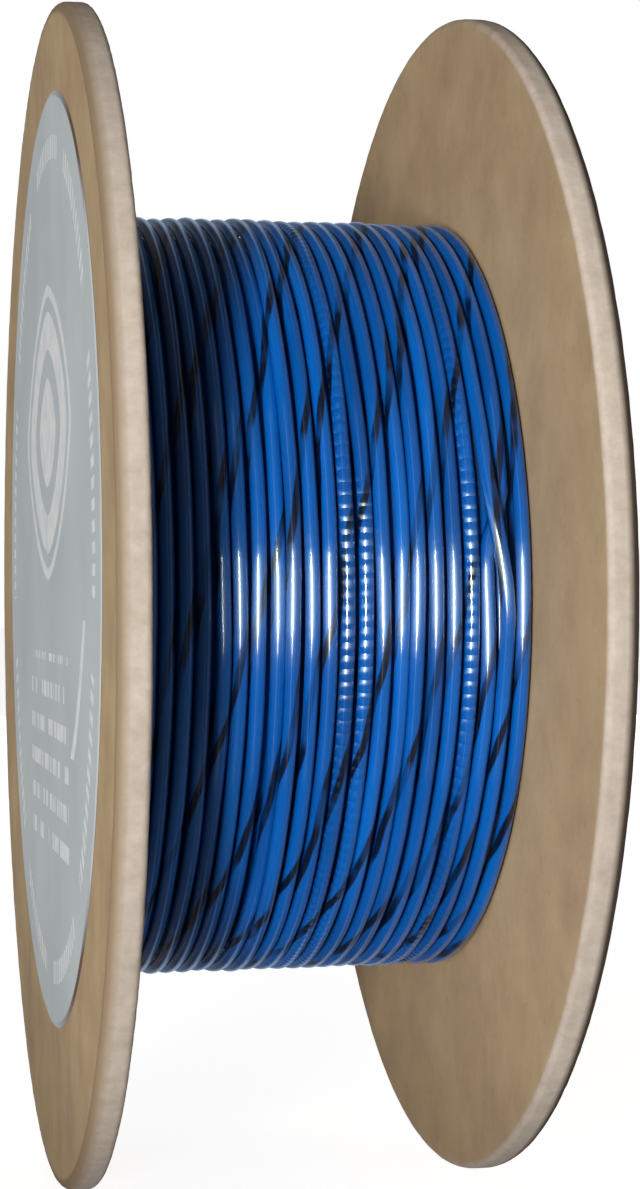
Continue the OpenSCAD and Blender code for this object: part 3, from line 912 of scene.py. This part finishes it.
side = add_node(tree, "ShaderNodeMapRange", {1: RIGHT_WALL[0], 2: RIGHT_WALL[1], 3: 0.0, 4: 0.6},
                {0: parts})
room = add_node(tree, "ShaderNodeMath", {}, {0: room, 1: side}, operation="MAXIMUM")
open_room = add_node(tree, "ShaderNodeMath", {}, {0: room, 1: path["Is Camera Ray"]},
                     operation="MAXIMUM")
strength = add_node(tree, "ShaderNodeMix", {2: 0.09}, {0: seen, 3: open_room})
tone = add_node(tree, "ShaderNodeMix", {6: linear_colour("#FFFFFF"), 7: linear_colour("#C4DAFA")},
                {0: path["Is Glossy Ray"]}, data_type="RGBA")
sky = add_node(tree, "ShaderNodeBackground", {}, {"Color": tone.outputs[2], "Strength": strength})
add_node(tree, "ShaderNodeOutputWorld", {}, {0: sky})

# ---- Lamps ----
# A soft box and a tall strip light stand at the front left. A glint card beside them puts the
# bright bars on the outer winding and lights nothing else. Two fills, which aren't mirrored, keep
# the right side and the back at the same plain level.
LAMP_DISTANCE = 1.3
LAMPS = (  # name, degrees round to the left from the front, height, width, tallness, watts
    ("soft_box", 26.0, -0.10, 0.18, 0.50, 15.6),
    ("strip_light", 30.0, 0.0, 0.30, 3.40, 5.0),
    ("glint_card", 26.3, 0.0, 0.16, 0.47, 64.0),
    ("side_fill", -108.0, 0.05, 0.50, 0.50, 6.5),
    ("back_fill", -164.0, 0.10, 0.50, 0.50, 4.5),
)
GLINT_COLOUR = (0.72, 0.95, 0.92)
glint_takers = bpy.data.collections.new("Glint takers")
glint_takers.objects.link(outer_winding)
for name, angle, height, width, tall, watts in LAMPS:
    lamp_data = bpy.data.lights.new(name, "AREA")
    lamp_data.shape = "RECTANGLE"
    lamp_data.size = width
    lamp_data.size_y = tall
    lamp_data.energy = watts
    lamp = bpy.data.objects.new(name, lamp_data)
    turn = math.radians(angle)
    lamp.location = (-LAMP_DISTANCE * math.sin(turn), -LAMP_DISTANCE * math.cos(turn), height)
    lamp.rotation_euler = (math.pi / 2, 0.0, -turn)
    lamp.visible_glossy = name not in ("side_fill", "back_fill")
    if name == "glint_card":
        lamp.visible_diffuse = False
        lamp_data.color = GLINT_COLOUR
        lamp.light_linking.receiver_collection = glint_takers
    bpy.context.scene.collection.objects.link(lamp)

# ---- Camera ----
# It stands at the height of the axis, a little to the left of the spool, and is turned back to the
# right, so that the left flange is seen from outside and the right one from inside.
CAMERA_PLACE = Vector((-0.0622, -0.3457, 0.0))
CAMERA_TURN = math.radians(11.73)
CAMERA_ROLL = math.radians(0.30)
SENSOR = 36.0
FOCAL_HEIGHTS = 2.036165  # focal length over the height of the frame
CLIP_START = 0.01
camera = bpy.data.objects.new("camera", bpy.data.cameras.new("camera"))
bpy.context.scene.collection.objects.link(camera)
camera.data.sensor_width = SENSOR
camera.data.lens = SENSOR * FOCAL_HEIGHTS
camera.data.clip_start = CLIP_START
right = Vector((math.cos(CAMERA_TURN), -math.sin(CAMERA_TURN), 0.0))
ahead = Vector((math.sin(CAMERA_TURN), math.cos(CAMERA_TURN), 0.0))
above = Vector((0.0, 0.0, 1.0))
across = right * math.cos(CAMERA_ROLL) - above * math.sin(CAMERA_ROLL)
upright = right * math.sin(CAMERA_ROLL) + above * math.cos(CAMERA_ROLL)
axes = Matrix((across, upright, -ahead)).transposed()
camera.matrix_world = Matrix.Translation(CAMERA_PLACE) @ axes.to_4x4()
bpy.context.scene.camera = camera
bpy.context.scene.view_settings.view_transform = "Standard"
